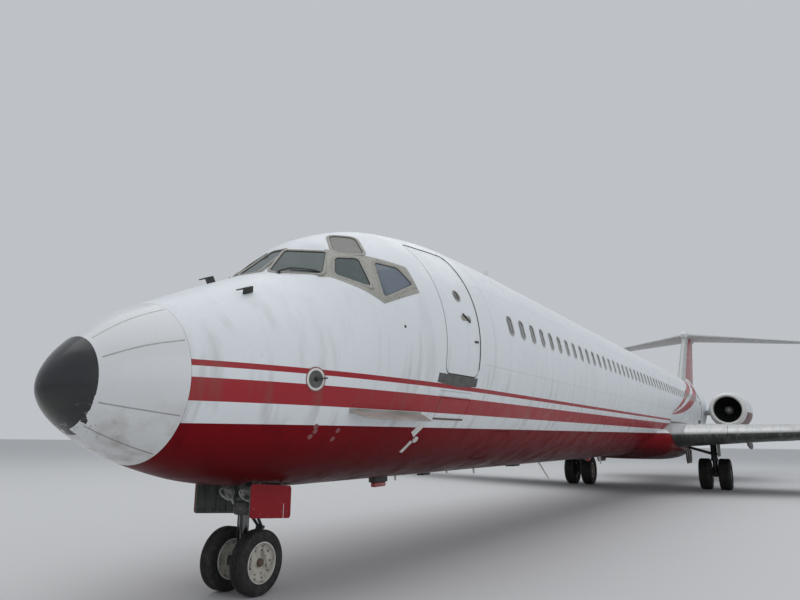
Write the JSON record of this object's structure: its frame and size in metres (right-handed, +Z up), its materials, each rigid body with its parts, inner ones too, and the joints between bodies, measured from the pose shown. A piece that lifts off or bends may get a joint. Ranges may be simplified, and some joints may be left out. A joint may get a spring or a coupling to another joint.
{
  "type": "narrow body airliner with two rear engines and a T tail, 1:2 scale model",
  "caption": "Narrow body jet airliner at 1:2 scale: two rear engines, T tail, low swept wing, parked on its steerable nose gear and main gear.",
  "frame": {"origin": "middle of the model's box, on the floor it stands on", "axes": "+X aft along the cabin, +Y to starboard, +Z up"},
  "size_m": [22.4996, 16.435, 4.2616],
  "materials": {
    "white_paint": "semi-gloss enamel, a little dirty",
    "red_paint": "semi-gloss enamel, a little faded",
    "belly_paint": "semi-gloss enamel, stained below",
    "grey_paint": "satin",
    "bare_metal": "polished",
    "hot_metal": "heat stained",
    "engine_metal": "dull",
    "gear_paint": "satin, oily",
    "hub_paint": "satin, brake dust",
    "tyre": "worn rubber",
    "cockpit_glass": "coated, dark behind"
  },
  "bodies": {
    "airframe": {"fuselage": "white_paint", "radome": "white_paint", "tail_cone": "red_paint", "door_front_left": "white_paint", "door_front_right": "white_paint", "door_aft_left": "white_paint", "wing_fairing": "belly_paint", "fin": "red_paint", "tailplane": "grey_paint", "nose_leg": "gear_paint", "windshield_centre": "cockpit_glass", "windshield_left": "cockpit_glass", "side_window_front_left": "cockpit_glass", "side_window_rear_left": "cockpit_glass", "eyebrow_window_left": "cockpit_glass", "wing_left": "grey_paint", "flap_inboard_left": "grey_paint", "flap_outboard_left": "grey_paint", "slat_left": "bare_metal", "intake_lip_left": "bare_metal", "exhaust_left": "hot_metal", "nacelle_left": "white_paint", "pylon_left": "white_paint", "engine_left": "engine_metal", "nose_door_left": "belly_paint", "main_leg_left": "gear_paint", "main_door_left": "grey_paint", "windshield_right": "cockpit_glass", "side_window_front_right": "cockpit_glass", "side_window_rear_right": "cockpit_glass", "eyebrow_window_right": "cockpit_glass", "wing_right": "grey_paint", "flap_inboard_right": "grey_paint", "flap_outboard_right": "grey_paint", "slat_right": "bare_metal", "intake_lip_right": "bare_metal", "exhaust_right": "hot_metal", "nacelle_right": "white_paint", "pylon_right": "white_paint", "engine_right": "engine_metal", "nose_door_right": "belly_paint", "main_leg_right": "gear_paint", "main_door_right": "grey_paint"},
    "nose_strut": {"nose_steering": "gear_paint"},
    "nose_wheel_pair": {"nose_wheels": "hub_paint", "nose_tyre_left": "tyre", "nose_tyre_right": "tyre"},
    "rudder_body": {"rudder": "red_paint"},
    "main_wheel_pair_left": {"main_wheels_left": "hub_paint", "main_tyre_left_inner": "tyre", "main_tyre_left_outer": "tyre"},
    "fan_wheel_left": {"fan_left": "engine_metal"},
    "elevator_body_left": {"elevator_left": "grey_paint"},
    "aileron_body_left": {"aileron_left": "grey_paint"},
    "main_wheel_pair_right": {"main_wheels_right": "hub_paint", "main_tyre_right_inner": "tyre", "main_tyre_right_outer": "tyre"},
    "fan_wheel_right": {"fan_right": "engine_metal"},
    "elevator_body_right": {"elevator_right": "grey_paint"},
    "aileron_body_right": {"aileron_right": "grey_paint"}
  },
  "joints": [
    {"name": "nose_steer", "type": "hinge", "parent": "airframe", "child": "nose_strut", "pos_m": [-10.03076, 0, 0.165], "axis": [-0.0106, 0, 0.9999], "range_deg": [-82, 82]},
    {"name": "nose_wheel_spin", "type": "hinge", "parent": "nose_strut", "child": "nose_wheel_pair", "pos_m": [-10.03076, 0, 0.165], "axis": [0, 1, 0], "continuous": true},
    {"name": "rudder_turn", "type": "hinge", "parent": "airframe", "child": "rudder_body", "pos_m": [9.12657, 0, 3.20562], "axis": [0.5776, 0, 0.8163], "range_deg": [-22, 22]},
    {"name": "main_wheel_spin_left", "type": "hinge", "parent": "airframe", "child": "main_wheel_pair_left", "pos_m": [1.00862, -1.27, 0.2825], "axis": [0, 1, 0], "continuous": true},
    {"name": "fan_spin_left", "type": "hinge", "parent": "airframe", "child": "fan_wheel_left", "pos_m": [4.43461, -1.345, 1.62333], "axis": [0.9999, 0, 0.0106], "continuous": true},
    {"name": "elevator_turn_left", "type": "hinge", "parent": "airframe", "child": "elevator_body_left", "pos_m": [10.43187, -1.5975, 4.0663], "axis": [-0.3955, 0.9176, 0.0393], "range_deg": [-27, 16.5]},
    {"name": "aileron_turn_left", "type": "hinge", "parent": "airframe", "child": "aileron_body_left", "pos_m": [2.71472, -6.625, 1.18609], "axis": [-0.3142, 0.9486, -0.0381], "range_deg": [-20, 15]},
    {"name": "main_wheel_spin_right", "type": "hinge", "parent": "airframe", "child": "main_wheel_pair_right", "pos_m": [1.00862, 1.27, 0.2825], "axis": [0, 1, 0], "continuous": true},
    {"name": "fan_spin_right", "type": "hinge", "parent": "airframe", "child": "fan_wheel_right", "pos_m": [4.43461, 1.345, 1.62333], "axis": [0.9999, 0, 0.0106], "continuous": true},
    {"name": "elevator_turn_right", "type": "hinge", "parent": "airframe", "child": "elevator_body_right", "pos_m": [10.43187, 1.5975, 4.0663], "axis": [0.3955, 0.9176, -0.0393], "range_deg": [-27, 16.5]},
    {"name": "aileron_turn_right", "type": "hinge", "parent": "airframe", "child": "aileron_body_right", "pos_m": [2.71472, 6.625, 1.18609], "axis": [0.3142, 0.9486, 0.0381], "range_deg": [-20, 15]}
  ]
}
